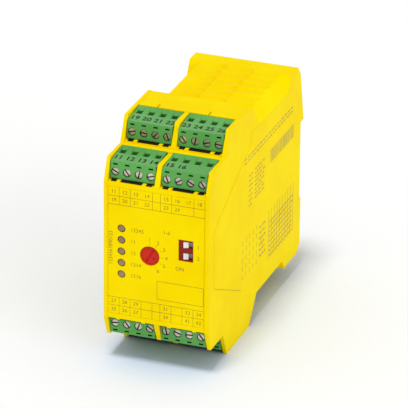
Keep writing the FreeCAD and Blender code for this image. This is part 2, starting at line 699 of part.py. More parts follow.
def header(tier, centre):
    """Socket block on the terminal board, with a tray that reaches under the plug."""
    start = HEADER_START[tier]
    end = start + HEADER_DEPTH
    half = PLUG_WIDTH / 2.0
    floor = FLOOR[tier]
    body = block(centre - half, centre + half, start, end,
                 BOARD_Z + BOARD_THICK, mouth_top(tier) + HEADER_WALL)
    tray_half = TONGUE_WIDTH / 2.0 - TRAY_INSET
    tray = block(centre - tray_half, centre + tray_half, plug_front(tier) - TRAY_LEAD, start + BITE,
                 floor + COVER_GAP, plug_low(tier) - FIT_GAP)
    mouth_half = TONGUE_WIDTH / 2.0 + FIT_GAP
    mouth = block(centre - mouth_half, centre + mouth_half, start - OVERSHOOT, end - SOCKET_FLOOR,
                  plug_low(tier) + TONGUE_LOW - FIT_GAP, mouth_top(tier))
    cuts = [mouth]
    notch_half = TAB_WIDTH / 2.0 + TAB_GAP
    for offset in (-TAB_X, TAB_X):
        x = centre + offset
        cuts.append(block(x - notch_half, x + notch_half, 0.0, FLOOR_END[tier] + COVER_GAP,
                          floor - OVERSHOOT, plug_low(tier)))
    hole = CONTACT_SIZE / 2.0 + PIN_HOLE_GAP
    level = pin_level(tier)
    for offset in pole_offsets():
        x = centre + offset
        cuts.append(block(x - hole, x + hole, end - SOCKET_FLOOR - BITE, end + OVERSHOOT,
                          level - hole, level + hole))
    return body.fuse(tray).cut(cuts)


def pin_end(tier):
    return HEADER_START[tier] + HEADER_DEPTH + PIN_BEND


def header_pins():
    """Contact pins of both tiers: straight into the plugs, then down into the terminal board."""
    half = CONTACT_SIZE / 2.0
    pins = []
    for tier in (0, 1):
        level = pin_level(tier)
        end = pin_end(tier)
        low = BOARD_Z - PIN_TAIL
        outline = [(HEADER_START[tier] + FIT_GAP, level + half), (end, level + half), (end, low),
                   (end - CONTACT_SIZE, low), (end - CONTACT_SIZE, level - half),
                   (HEADER_START[tier] + FIT_GAP, level - half)]
        pins += [side_prism(outline, x - half, x + half) for x in pole_positions()]
    return Part.makeCompound(pins)


def terminal_board():
    """Board under both tiers of headers, with a hole for each contact pin."""
    half = X_IN - BOARD_EDGE_GAP
    board = block(-half, half, BOARD_START, BOARD_END, BOARD_Z, BOARD_Z + BOARD_THICK)
    hole = CONTACT_SIZE / 2.0 + PIN_HOLE_GAP
    cuts = []
    for tier in (0, 1):
        middle = pin_end(tier) - CONTACT_SIZE / 2.0
        for x in pole_positions():
            cuts.append(block(x - hole, x + hole, middle - hole, middle + hole,
                              BOARD_Z - OVERSHOOT, BOARD_Z + BOARD_THICK + OVERSHOOT))
    return board.cut(cuts)


# ---------------------------------------------------------------- front cover

def cover_outline():
    """Stepped section of the cover above mid-height."""
    return [(FLOOR_START[0], FLOOR[0]), (FLOOR_END[0], FLOOR[0]), (FLOOR_END[0], LEDGE),
            (FLOOR_START[1], LEDGE), (FLOOR_START[1], FLOOR[1]), (FLOOR_END[1], FLOOR[1]),
            (FLOOR_END[1], COVER_LID), (RIDGE_DEPTH, COVER_LID)]


def cover_hollow():
    """Inside of that section, one cover wall in, open towards the housing."""
    wall = COVER_WALL
    mouth = ROOF_HALF - WALL
    return [(FLOOR_START[0] + PANEL_THICK + wall, FLOOR[0] - wall), (FLOOR_END[0] + wall, FLOOR[0] - wall),
            (FLOOR_END[0] + wall, LEDGE - wall), (FLOOR_START[1] + wall, LEDGE - wall),
            (FLOOR_START[1] + wall, FLOOR[1] - wall), (FLOOR_END[1] + wall, FLOOR[1] - wall),
            (FLOOR_END[1] + wall, COVER_LID - wall), (RIDGE_DEPTH - wall, COVER_LID - wall),
            (RIDGE_DEPTH - wall, mouth), (RIDGE_DEPTH + OVERSHOOT, mouth)]


def divider():
    """Rib between the left and right plugs, following the side walls' edge."""
    back = [end + BITE for end in FLOOR_END]
    step = FLOOR_START[1] + BITE
    low = LEDGE - DIVIDER_INSET - BITE
    outline = stepped_edge(DIVIDER_INSET)[:-1]
    outline += [(back[1], HALF_HEIGHT - DIVIDER_INSET), (back[1], FLOOR[1] - BITE), (step, FLOOR[1] - BITE),
                (step, low), (back[0], low), (back[0], FLOOR[0] - BITE), (DIVIDER_INSET, FLOOR[0] - BITE)]
    return side_prism(outline, -DIVIDER / 2.0, DIVIDER / 2.0)


def cover_tabs():
    """Small tabs under the plugs, for the top half."""
    half = TAB_WIDTH / 2.0
    tabs = []
    for tier in (0, 1):
        for side in (-1, 1):
            for offset in (-TAB_X, TAB_X):
                x = side * PLUG_CENTRE_X + offset
                tabs.append(block(x - half, x + half, FLOOR_START[tier], FLOOR_END[tier] - PLUG_BACK_GAP,
                                  FLOOR[tier] - BITE, plug_low(tier) - FIT_GAP))
    return tabs


def cover_openings():
    """Header mouths and release slits of the top half."""
    cuts = []
    half = TONGUE_WIDTH / 2.0 + FIT_GAP
    slit = SLIT_WIDTH / 2.0
    for x in (-PLUG_CENTRE_X, PLUG_CENTRE_X):
        for tier in (0, 1):
            back = FLOOR_END[tier]
            cuts.append(block(x - half, x + half, back - BITE, back + COVER_WALL + BITE,
                              FLOOR[tier], mouth_top(tier)))
        middle = x + SLIT_X
        back = FLOOR_END[1]
        cuts.append(block(middle - slit, middle + slit, back - OVERSHOOT, back + SLIT_LENGTH,
                          COVER_LID - SLIT_DEEP, COVER_LID + OVERSHOOT))
    return cuts


def front_cover():
    """Cover between the side walls: panel frame, plug steps, divider and lid."""
    half = X_IN - COVER_GAP
    body = side_prism(with_mirror(cover_outline()), -half, half)
    hollow = side_prism(with_mirror(cover_hollow()), -X_OUT, X_OUT)
    pieces = [body.cut(hollow)]
    for piece in [divider()] + cover_tabs():
        pieces += both_halves(piece)
    seat_x = PANEL_HALF_WIDTH + COVER_GAP
    seat_z = PANEL_HALF_HEIGHT + COVER_GAP
    seat_end = PANEL_SET + PANEL_THICK
    seat = block(-seat_x, seat_x, PANEL_SET - OVERSHOOT, seat_end, -seat_z, seat_z)
    bay = block(-BAY_HALF_WIDTH, BAY_HALF_WIDTH, PANEL_SET, seat_end + COVER_WALL + OVERSHOOT,
                -BAY_HALF_HEIGHT, BAY_HALF_HEIGHT)
    cuts = [seat, bay]
    for cut in cover_openings():
        cuts += both_halves(cut)
    return joined(pieces).cut(cuts)


# ---------------------------------------------------------------- panel and lamps

def led_levels():
    first = (LED_COUNT - 1) / 2.0 * LED_PITCH
    return [first - index * LED_PITCH for index in range(LED_COUNT)]


def front_panel():
    """Panel with the holes for the indicators, the knob and the coding switch."""
    end = PANEL_SET + PANEL_THICK
    panel = block(-PANEL_HALF_WIDTH, PANEL_HALF_WIDTH, PANEL_SET, end,
                  -PANEL_HALF_HEIGHT, PANEL_HALF_HEIGHT)
    before = PANEL_SET - OVERSHOOT
    after = end + OVERSHOOT
    cuts = [flat_rod(LED_R + HOLE_GAP, LED_SIDES, LED_X, z, before, after) for z in led_levels()]
    cuts.append(rod(KNOB_R + KNOB_GAP, KNOB_X, 0.0, before, after))
    cuts.append(block(DIP_X - DIP_WIDTH / 2.0, DIP_X + DIP_WIDTH / 2.0, before, after,
                      DIP_Z - DIP_HEIGHT / 2.0, DIP_Z + DIP_HEIGHT / 2.0))
    return panel.cut(cuts)


def led_lens(z):
    """Lens with a bevelled rim, a flange behind the panel and a light pipe to the board."""
    face = PANEL_SET + LED_SINK
    shoulder = PANEL_SET + PANEL_THICK + HOLE_GAP
    profile = [(face, LED_R - LED_BEVEL), (face + LED_BEVEL, LED_R)]
    rings = []
    for depth, radius in profile:
        corners = [vector(x, depth, height) for x, height in many_sided(radius, LED_SIDES, LED_X, z)]
        rings.append(Part.makePolygon(corners + corners[:1]))
    crown = Part.makeLoft(rings, True, True)
    lens = flat_rod(LED_R, LED_SIDES, LED_X, z, face + LED_BEVEL, shoulder + LED_FLANGE)
    flange = flat_rod(LED_FLANGE_R, LED_SIDES, LED_X, z, shoulder, shoulder + LED_FLANGE)
    pipe = flat_rod(LED_PIPE_R, SHANK_SIDES, LED_X, z, shoulder + BITE, FRONT_BOARD_DEPTH - HOLE_GAP)
    return joined([crown, lens, flange, pipe])


# ---------------------------------------------------------------- switches

def rotary_knob():
    """Knob with a rim, a screwdriver slot across its face and a pointer mark, on its shaft."""
    front = PANEL_SET
    before = front - OVERSHOOT
    face = front + KNOB_FACE_SINK
    disc = rod(KNOB_R, KNOB_X, 0.0, front, front + KNOB_THICK)
    dish = rod(KNOB_R - KNOB_RIM, KNOB_X, 0.0, before, face)
    slot = block(KNOB_X - KNOB_SLOT_HALF, KNOB_X + KNOB_SLOT_HALF, before, face + KNOB_SLOT_DEPTH,
                 -KNOB_SLOT / 2.0, KNOB_SLOT / 2.0)
    base = POINTER_TIP - POINTER_LENGTH
    corners = [(KNOB_X, POINTER_TIP), (KNOB_X + POINTER_HALF, base), (KNOB_X - POINTER_HALF, base)]
    pointer = front_prism(corners, before, face + POINTER_DEEP)
    shaft = rod(KNOB_SHAFT_R, KNOB_X, 0.0, front + KNOB_THICK - BITE, FRONT_BOARD_DEPTH - SHAFT_END)
    knob = disc.fuse(shaft).removeSplitter().cut([dish, slot, pointer])
    knob.rotate(vector(KNOB_X, 0, 0), FreeCAD.Vector(0, 1, 0), KNOB_POINTER_ANGLE)
    return knob


def rotary_switch_body():
    """Switch body on the front board, with the bearing of the knob's shaft."""
    half = ROTARY_SIZE / 2.0
    start = PANEL_SET + KNOB_THICK + FIT_GAP
    body = block(KNOB_X - half, KNOB_X + half, start, FRONT_BOARD_DEPTH, -half, half)
    bore = rod(KNOB_SHAFT_R + SHAFT_CLEARANCE, KNOB_X, 0.0, start - OVERSHOOT,
               FRONT_BOARD_DEPTH - SHAFT_END + FIT_GAP)
    return body.cut(bore)


def dip_levels():
    return [DIP_Z + DIP_PITCH / 2.0, DIP_Z - DIP_PITCH / 2.0]


def dip_switch_body():
    """Coding switch body behind the panel, with a slot for each slide."""
    half_width = DIP_WIDTH / 2.0
    half_height = DIP_HEIGHT / 2.0
    base_start = PANEL_SET + PANEL_THICK + HOLE_GAP
    boss = block(DIP_X - half_width + HOLE_GAP, DIP_X + half_width - HOLE_GAP, DIP_FACE, base_start + BITE,
                 DIP_Z - half_height + HOLE_GAP, DIP_Z + half_height - HOLE_GAP)
    margin = DIP_BASE_MARGIN
    base = block(DIP_X - half_width - margin, DIP_X + half_width + margin, base_start, FRONT_BOARD_DEPTH,
                 DIP_Z - half_height - margin, DIP_Z + half_height + margin)
    cuts = [block(SLOT_START, SLOT_START + SLOT_LENGTH, DIP_FACE - OVERSHOOT, DIP_FACE + SLOT_DEEP,
                  z - SLOT_HEIGHT / 2.0, z + SLOT_HEIGHT / 2.0) for z in dip_levels()]
    return boss.fuse(base).cut(cuts)


def dip_slider(z):
    """White slide with a stepped lever, at the left end of its slot."""
    start = SLOT_START + HOLE_GAP
    front = DIP_FACE - LEVER_PROUD
    half = SLOT_HEIGHT / 2.0 - HOLE_GAP
    lever = block(start, start + LEVER_WIDTH, front, DIP_FACE + SLOT_DEEP - HOLE_GAP, z - half, z + half)
    step = block(start + LEVER_RIDGE, start + LEVER_WIDTH + OVERSHOOT,
                 front - OVERSHOOT, front + LEVER_STEP, z - SLOT_HEIGHT, z + SLOT_HEIGHT)
    return lever.cut(step)


# ---------------------------------------------------------------- boards and parts inside

def front_board():
    """Board behind the panel that carries the switches and the lamps."""
    return block(-BAY_HALF_WIDTH, BAY_HALF_WIDTH, FRONT_BOARD_DEPTH, FRONT_BOARD_DEPTH + BOARD_THICK,
                 -BAY_HALF_HEIGHT, BAY_HALF_HEIGHT)


def relay(side):
    """Switching relay in its case, standing on the upper board's inner face."""
    x0 = side * RELAY_X - RELAY_WIDTH / 2.0
    end = SEAT_DEPTH - RELAY_BACK
    case = block(x0, x0 + RELAY_WIDTH, end - RELAY_LENGTH, end, BOARD_Z - RELAY_HEIGHT, BOARD_Z)
    upright = [edge for edge in case.Edges if edge.BoundBox.ZLength > RELAY_HEIGHT / 2.0]
    return case.makeChamfer(RELAY_CORNER, upright)


def transformer():
    """Small mains transformer under the upper board: laminated core with its winding."""
    half = TRANSFORMER_WIDTH / 2.0
    middle = TRANSFORMER_START + TRANSFORMER_LENGTH / 2.0
    low = BOARD_Z - TRANSFORMER_HEIGHT
    core = block(-half, half, middle - CORE_LENGTH / 2.0, middle + CORE_LENGTH / 2.0, low, BOARD_Z)
    coil_low = low + (TRANSFORMER_HEIGHT - COIL_HEIGHT) / 2.0
    coil_half = COIL_WIDTH / 2.0
    coil = block(-coil_half, coil_half, TRANSFORMER_START, TRANSFORMER_START + TRANSFORMER_LENGTH,
                 coil_low, coil_low + COIL_HEIGHT)
    return joined([core, coil])


def capacitor(side):
    """Upright electrolytic capacitor on the lower board."""
    foot = vector(side * CAPACITOR_X, CAPACITOR_DEPTH, -BOARD_Z)
    return Part.makeCylinder(CAPACITOR_R, CAPACITOR_HEIGHT, foot, FreeCAD.Vector(0, 0, 1))


def board_link():
    """Pin strip that joins the front board to the lower terminal board."""
    half = LINK_WIDTH / 2.0
    return block(-half, half, FRONT_BOARD_DEPTH + BOARD_THICK, BOARD_START + LINK_OVERLAP,
                 -BOARD_Z, LINK_HEIGHT - BOARD_Z)


# ---------------------------------------------------------------- write the parts

def build_parts():
    parts = {
        "housing_shell": housing_shell(),
        "front_cover": front_cover(),
        "front_panel": front_panel(),
        "rotary_knob": rotary_knob(),
        "rotary_switch_body": rotary_switch_body(),
        "dip_switch_body": dip_switch_body(),
        "rail_latch": rail_latch(),
        "latch_spring": latch_spring(),
        "front_board": front_board(),
        "terminal_board_top": terminal_board(),
        "terminal_board_bottom": upside_down(terminal_board()),
        "header_pins_top": header_pins(),
        "header_pins_bottom": upside_down(header_pins()),
        "transformer": transformer(),
        "board_link": board_link(),
    }
    for index, z in enumerate(led_levels()):
        parts["led_lens_%d" % (index + 1)] = led_lens(z)
    for index, z in enumerate(dip_levels()):
        parts["dip_slider_%d" % (index + 1)] = dip_slider(z)
    for index, side in enumerate((-1, 1)):
        parts["capacitor_%d" % (index + 1)] = capacitor(side)
    parts.update(plug_places())
    return parts


def plug_places():
    """Relays, plugs and headers of the four quarters."""
    parts = {}
    first_turn = 0
    for level_name, place in (("top", Part.Shape.copy), ("bottom", upside_down)):
        for side_name, side in (("left", -1), ("right", 1)):
            parts["relay_%s_%s" % (level_name, side_name)] = place(relay(side))
            for tier, tier_name in enumerate(("front", "rear")):
                centre = side * PLUG_CENTRE_X
                name = "%s_%s_%s" % (level_name, tier_name, side_name)
                parts["plug_body_" + name] = place(plug_body(tier, centre))
                parts["plug_screws_" + name] = place(plug_screws(tier, centre, first_turn))
                parts["plug_clamps_" + name] = place(plug_clamps(tier, centre))
                parts["header_" + name] = place(header(tier, centre))
                first_turn += 3
    return parts


def main():
    os.makedirs("parts", exist_ok=True)
    for name, shape in build_parts().items():
        shape.exportStep("parts/%s.step" % name)


main()
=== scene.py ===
"""Looks of a safety relay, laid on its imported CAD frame.  Lengths are in metres."""
import json
import math
import random

import bpy
from mathutils import Matrix, Vector


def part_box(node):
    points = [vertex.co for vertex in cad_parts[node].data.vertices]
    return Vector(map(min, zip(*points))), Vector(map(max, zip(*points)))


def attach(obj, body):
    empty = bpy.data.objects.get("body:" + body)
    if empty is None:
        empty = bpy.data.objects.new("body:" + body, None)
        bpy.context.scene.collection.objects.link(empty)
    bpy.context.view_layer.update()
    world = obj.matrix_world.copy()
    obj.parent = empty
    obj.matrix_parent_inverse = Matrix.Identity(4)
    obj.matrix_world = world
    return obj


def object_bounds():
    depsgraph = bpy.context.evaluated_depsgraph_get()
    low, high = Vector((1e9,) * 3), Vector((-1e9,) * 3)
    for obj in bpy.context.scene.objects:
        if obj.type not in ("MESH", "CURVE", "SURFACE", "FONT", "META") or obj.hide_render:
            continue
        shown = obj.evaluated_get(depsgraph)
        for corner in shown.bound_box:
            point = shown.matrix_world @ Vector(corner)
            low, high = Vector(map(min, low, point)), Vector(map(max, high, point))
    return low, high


MM = 0.001

# ---- camera
CAMERA_AZIMUTH = 19.9          # degrees to the right of straight ahead
CAMERA_ELEVATION = 24.58
CAMERA_ROLL = 0.59
CAMERA_DISTANCE = 1.735
CAMERA_LENS = 374.2            # millimetres, on a 36 mm sensor
CAMERA_SENSOR = 36.0
CAMERA_NEAR = 0.05
CAMERA_FAR = 20.0
TARGET_RIGHT = 0.2 * MM        # from the middle of the width
TARGET_DEPTH = 55.0 * MM       # behind the front face
TARGET_UP = 0.0

# ---- light
AMBIENT = 0.47                 # strength of the white surroundings as light
KEY_SHARE = 0.47               # light of the lamp above and a little in front, on a face towards it
KEY_FROM = (-0.04, -0.26, 1.0)
KEY_SPREAD = 14.0              # degrees across
FILL_SHARE = 0.43              # light of the low lamp in front and to the right
FILL_FROM = (0.85, -0.47, 0.18)
FILL_SPREAD = 60.0
FLOOR_HALF = 4.0
WHITE = (255, 255, 255)
COVER_SAMPLES = 8              # rays that find how much stands near a point
CONTACT_SHADOW_REACH = 14.0 * MM      # painted contact shadow under and beside the part, within this
CONTACT_SHADOW_STOPS = ((0.02, (30, 30, 32)), (0.15, (190, 192, 195)), (0.4, (246, 247, 248)), (0.8, WHITE))
BOUNCE_REACH = 140.0 * MM      # painted cool tone that offsets the yellow light thrown on the floor
BOUNCE_STOPS = ((0.45, (218, 230, 255)), (1.0, WHITE))

# ---- surfaces
CLOUD_SCALE = 60.0             # slow change between the two tones of a plastic
CLOUD_STOPS = (0.35, 0.65)
GRAIN_DEPTH = 0.05 * MM
EDGE_SAMPLES = 4
HOLLOW_OPEN = (0.25, 0.8)      # painted hollow shade: open share of a fully dark and of an unshaded place
YELLOW_GLOSS = 0.015
YELLOW_EDGE = 0.18             # millimetres of softening
INK_DEEP = 0.9                 # share of an ink's colour in its darker tone

# ---- colours, as (red, green, blue) of 0 to 255
YELLOW = (252, 225, 2)
YELLOW_DEEP = (249, 218, 0)
GREEN = (96, 170, 86)
GREEN_DEEP = (86, 158, 76)
# painted shade mixed into the plugs' holes and funnels
GREEN_HOLLOW_SHADE = (28, 72, 22)
# marking strip on the plugs' sloping tops, its lighter green a painted sheen
STRIP_SHEEN_GREEN = (106, 172, 97)
STRIP_SHEEN_DEEP = (96, 162, 88)
INK_BROWN = (158, 132, 12)
INK_BLACK = (14, 20, 12)
SIDE_INK = (190, 160, 52)

# ---- print on the front panel
INK_LIFT = 0.01 * MM           # the ink stands this far off the surface
SECOND_LAYER = Matrix.Translation((0.0, 0.0, 0.01 * MM))      # ink that crosses other ink
RULE_WIDTH = 0.16 * MM
GRID_COLUMN = 4.7 * MM         # one terminal's cell
GRID_MIDDLE = 3.4 * MM         # blank cell over the divider
GRID_HALF = 5                  # upright rules on either side of the middle, edges included
FIRST_NUMBER = 11
TOP_GRID = (27.7 * MM, 24.0 * MM, 20.3 * MM)      # heights of its open top and two rules
BOTTOM_GRID = (-20.6 * MM, -24.2 * MM, -28.0 * MM)
OPEN_COLUMNS = (-2, 3)         # rules that the top grid leaves out
BLANK_CELLS = ((1, 6), (1, 7), (2, 3), (2, 5), (3, 3), (3, 5))      # (row, column) without a number
BLANK_FIELD = (0.4 * MM, 20.1 * MM, -10.5 * MM, -18.5 * MM)
FIGURE_HEIGHT = 1.6 * MM
FIGURE_SHARE = 0.7             # height of a figure per unit of lettering size
LAMP_LABEL_GAP = 1.75 * MM     # lamp's edge to its label
LAMP_LABELS = ("12345", "11", "12", "1314", "1516")
DIAL_RADIUS = 7.1 * MM
DIAL_POSITIONS = 6
DIAL_STEP = 30.0               # degrees
TICK_START = 4.9 * MM
TICK_END = 5.9 * MM
DIAL_TITLE = (4.4 * MM, 11.3 * MM)
CODING_ON = (10.0 * MM, -3.6 * MM)
CODING_MARK_X = 17.8 * MM
CHANNEL_SINK = 1.9 * MM        # the channels' floor behind the levers' faces
CHANNEL_LENGTH = 1.7 * MM
CHANNEL_GAP = 0.1 * MM
UPRIGHT_LINE = (-19.4 * MM, 1.0 * MM)
UPRIGHT_FIGURES = "1234567890123"

# ---- terminal plugs and their print
PLUG_LEAN = 0.9 * MM           # the top begins this far behind the plug's front edge
PLUG_RISE = 1.5 * MM           # and climbs by this much
PLUG_DEPTH = 13.7 * MM
STRIP_DEPTH = 6.4 * MM
STRIP_MARGIN = 0.15 * MM
POLE_PITCH = 5.0 * MM
POLE_COUNT = 4
POLE_FIGURE = 2.7 * MM
POLE_WEIGHT = 0.1 * MM         # thickens the figures' lines
POLE_FIGURE_PLACE = 3.2 * MM   # up the slope
UNUSED_POLES = (("top_front_right", 2), ("top_front_right", 3))      # without a number

# ---- print on the right side wall, as (depth, height) in millimetres
BARS = (73.0, 102.0, 14.5, 20.5)
BAR_COUNT = 30
BAR_SHARES = (0.3, 0.8)        # of a bar's step
FIELD_EDGE_SHADOW = ((6.3, -12.9), (38.0, -27.9))         # painted shadow line under the lower front edge of the wall's raised field
SMALL_PRINT = (                # area, row height, length of the dashes
    ((41.0, 103.0, 26.0, 29.6), 1.8, 3.4),
    ((46.7, 52.5, 5.0, 20.5), 2.2, 2.2),
    ((54.0, 67.0, 6.0, 20.5), 1.8, 3.2),
    ((60.5, 69.0, -23.0, -8.0), 2.6, 2.4),
    ((73.0, 102.5, -28.5, -11.0), 2.2, 1.7),
)
DASH_SHARES = (0.4, 1.0)       # of a dash's full length
DASH_GAPS = (0.15, 0.4)
DASH_HALF = 0.17               # half a dash's height, of its row's
TABLE = (72.0, 102.5, -29.0, -6.5)
TABLE_COLUMNS = 9
DIAGRAM = (40.0, 57.0, -26.3, -6.5)
DIAGRAM_COLUMNS = 4
DIAGRAM_DASH = 2.4
DIAGRAM_GAP = 0.6              # of a dash
UPRIGHT_WIDTH = 0.42 * MM


def linear(colour, alpha=1.0):
    """Colour of 0 to 255 as the shader's linear colour."""
    tones = []
    for value in colour:
        share = value / 255.0
        tones.append(share / 12.92 if share <= 0.04045 else ((share + 0.055) / 1.055) ** 2.4)
    return (*tones, alpha)


# ---------------------------------------------------------------- materials

def moulded(name, light, deep, roughness=0.5, grain=0.06, cell=0.9, bump=0.05, edge=0.15, coat=0.0,
            gloss=0.2, hollow_shade=None):
    """Moulded plastic: two near tones in slow clouds, a fine spark-eroded grain and softened edges.

    cell and edge are in millimetres.  With hollow_shade=(reach in millimetres, colour) its holes and
    corners get painted shade of that colour.
    """
    material = bpy.data.materials.new(name)
    material.use_nodes = True
    nodes = material.node_tree.nodes
    links = material.node_tree.links
    shader = nodes["Principled BSDF"]
    place = nodes.new("ShaderNodeTexCoord")
    clouds = nodes.new("ShaderNodeTexNoise")
    clouds.inputs["Scale"].default_value = CLOUD_SCALE
    clouds.inputs["Detail"].default_value = 3.0
    links.new(place.outputs["Object"], clouds.inputs["Vector"])
    tones = nodes.new("ShaderNodeValToRGB")
    tones.color_ramp.elements[0].position = CLOUD_STOPS[0]
    tones.color_ramp.elements[0].color = linear(deep)
    tones.color_ramp.elements[1].position = CLOUD_STOPS[1]
    tones.color_ramp.elements[1].color = linear(light)
    links.new(clouds.outputs["Fac"], tones.inputs["Fac"])
    links.new(tones.outputs["Color"], shader.inputs["Base Color"])
    # painted shade in holes and corners
    if hollow_shade:
        shade_hollows(material, tones.outputs["Color"], shader.inputs["Base Color"], *hollow_shade)
    fine = nodes.new("ShaderNodeTexNoise")
    fine.inputs["Scale"].default_value = 1.0 / (cell * MM)
    fine.inputs["Detail"].default_value = 2.0
    links.new(place.outputs["Object"], fine.inputs["Vector"])
    spread = nodes.new("ShaderNodeMapRange")
    spread.inputs["To Min"].default_value = roughness - grain
    spread.inputs["To Max"].default_value = roughness + grain
    links.new(fine.outputs["Fac"], spread.inputs["Value"])
    links.new(spread.outputs["Result"], shader.inputs["Roughness"])
    relief = nodes.new("ShaderNodeBump")
    relief.inputs["Strength"].default_value = bump
    relief.inputs["Distance"].default_value = GRAIN_DEPTH
    links.new(fine.outputs["Fac"], relief.inputs["Height"])
    if edge:
        soft = nodes.new("ShaderNodeBevel")
        soft.samples = EDGE_SAMPLES
        soft.inputs["Radius"].default_value = edge * MM
        links.new(soft.outputs["Normal"], relief.inputs["Normal"])
    links.new(relief.outputs["Normal"], shader.inputs["Normal"])
    shader.inputs["Specular IOR Level"].default_value = gloss
    shader.inputs["Coat Weight"].default_value = coat
    return material


def shade_hollows(material, tone, target, reach, colour):
    """Painted shade: mixes a colour into the places that little light reaches."""
    nodes = material.node_tree.nodes
    links = material.node_tree.links
    cover = nodes.new("ShaderNodeAmbientOcclusion")
    cover.samples = COVER_SAMPLES
    cover.inputs["Distance"].default_value = reach * MM
    share = nodes.new("ShaderNodeMapRange")
    share.inputs["From Min"].default_value = HOLLOW_OPEN[0]
    share.inputs["From Max"].default_value = HOLLOW_OPEN[1]
    links.new(cover.outputs["AO"], share.inputs["Value"])
    mix = nodes.new("ShaderNodeMix")
    mix.data_type = "RGBA"
    mix.inputs["A"].default_value = linear(colour)
    links.new(share.outputs["Result"], mix.inputs["Factor"])
    links.new(tone, mix.inputs["B"])
    links.new(mix.outputs["Result"], target)


def metal(name, light, deep, roughness=0.28, edge=0.08, hollow_shade=None):
    """Plated metal with faint turning marks."""
    material = moulded(name, light, deep, roughness=roughness, grain=0.08, cell=0.25, bump=0.08,
                       edge=edge, hollow_shade=hollow_shade)
    shader = material.node_tree.nodes["Principled BSDF"]
    shader.inputs["Metallic"].default_value = 1.0
    return material


def ink(name, colour):
    """Printed ink, slightly uneven."""
    deep = tuple(round(INK_DEEP * value) for value in colour)
    return moulded(name, colour, deep, roughness=0.55, grain=0.05, cell=0.4, bump=0.0, edge=0.0)


def make_materials():
    """One material for each slot of the record, and those of the print and the floor."""
    yellow = {"gloss": YELLOW_GLOSS, "edge": YELLOW_EDGE}
    return {
        "housing": moulded("housing_yellow", YELLOW, YELLOW_DEEP, **yellow),
        "cover": moulded("cover_yellow", YELLOW, YELLOW_DEEP, **yellow),
        "panel": moulded("panel_yellow", YELLOW, YELLOW_DEEP, **yellow),
        "latch": moulded("latch_yellow", YELLOW, YELLOW_DEEP, **yellow),
        # painted shade in the plugs' holes and funnels
        "plug_green": moulded("terminal_green", GREEN, GREEN_DEEP, edge=0.12, hollow_shade=(2.6, GREEN_HOLLOW_SHADE)),
        "header_plastic": moulded("header_black", (44, 24, 14), (24, 12, 8)),
        # painted shade in the screws' slots and round their heads
        "screw_steel": metal("screw_steel", (216, 208, 192), (176, 166, 148), 0.36,
                             hollow_shade=(0.9, (40, 34, 26))),
        "clamp_metal": metal("clamp_steel", (150, 146, 138), (128, 124, 118), 0.4),
        "pin_metal": metal("pin_tin", (206, 196, 160), (186, 176, 140), 0.3),
        # painted shade at the rim of each recessed lens
        "lens": moulded("lens_grey", (164, 140, 106), (118, 98, 72), roughness=0.25, cell=0.6, bump=0.0,
                        gloss=0.4, hollow_shade=(0.7, (60, 48, 36))),
        "knob_red": moulded("knob_red", (204, 36, 12), (194, 30, 10), edge=0.1),
        "switch_body": moulded("switch_black", (34, 34, 36), (24, 24, 26)),
        "coding_switch_red": moulded("coding_switch_red", (154, 36, 12), (126, 24, 8), edge=0.08),
        "slide_white": moulded("slide_white", (240, 238, 234), (226, 224, 220), edge=0.08),
        "board": moulded("board_green", (24, 98, 60), (18, 84, 50), roughness=0.3, edge=0.05),
        "relay_case": moulded("relay_case", (236, 232, 220), (226, 222, 208)),
        "transformer_core": moulded("transformer_core", (78, 74, 70), (58, 54, 52)),
        "capacitor_can": moulded("capacitor_sleeve", (40, 44, 62), (30, 34, 50), roughness=0.3),
        "link_plastic": moulded("link_black", (30, 30, 30), (22, 22, 22)),
        "spring_steel": metal("spring_steel", (196, 194, 188), (176, 174, 168), 0.25),
        "ink": ink("ink_brown", INK_BROWN),
        "side_ink": ink("ink_ochre", SIDE_INK),
        "ink_black": ink("ink_black", INK_BLACK),
        # marking strip with painted sheen
        "strip": moulded("strip_green_painted_sheen", STRIP_SHEEN_GREEN, STRIP_SHEEN_DEEP, edge=0.0),
        # the slides' white base in painted shade
        "channel": moulded("channel_grey_painted_shade", (206, 196, 190), (176, 166, 160), edge=0.0),
        "floor": floor_material(),
    }


def dress_cad(materials):
    """Gives every CAD node the material of its slot."""
    for row in frame["record"]["subparts"]:
        node = frame["nodes"][row["node"]]
        material = materials[row["material_slot"]]
        node.data.materials.clear()
        node.data.materials.append(material)


# ---------------------------------------------------------------- printed marks

def plane(origin, right, up):
    """Maps flat (right, up) places to a face that starts at origin; ink lies just off the face."""
    right = Vector(right).normalized()
    up = Vector(up).normalized()
    out = right.cross(up)
    start = Vector(origin) + out * INK_LIFT
    return Matrix([(right[i], up[i], out[i], start[i]) for i in range(3)] + [(0, 0, 0, 1)])


def stroke(start, end, width):
    """Corners of a straight line of ink."""
    a = Vector((*start, 0.0))
    b = Vector((*end, 0.0))
    across = Vector((a.y - b.y, b.x - a.x, 0.0)).normalized() * width / 2.0
    return [a - across, b - across, b + across, a + across]


def patch(x0, x1, y0, y1):
    """Corners of an upright rectangle."""
    return [Vector((x0, y0, 0.0)), Vector((x1, y0, 0.0)), Vector((x1, y1, 0.0)), Vector((x0, y1, 0.0))]


def frame_lines(x0, x1, y0, y1):
    """Four strokes round a rectangle."""
    corners = [(x0, y0), (x1, y0), (x1, y1), (x0, y1)]
    return [stroke(corners[i], corners[(i + 1) % 4], RULE_WIDTH) for i in range(4)]


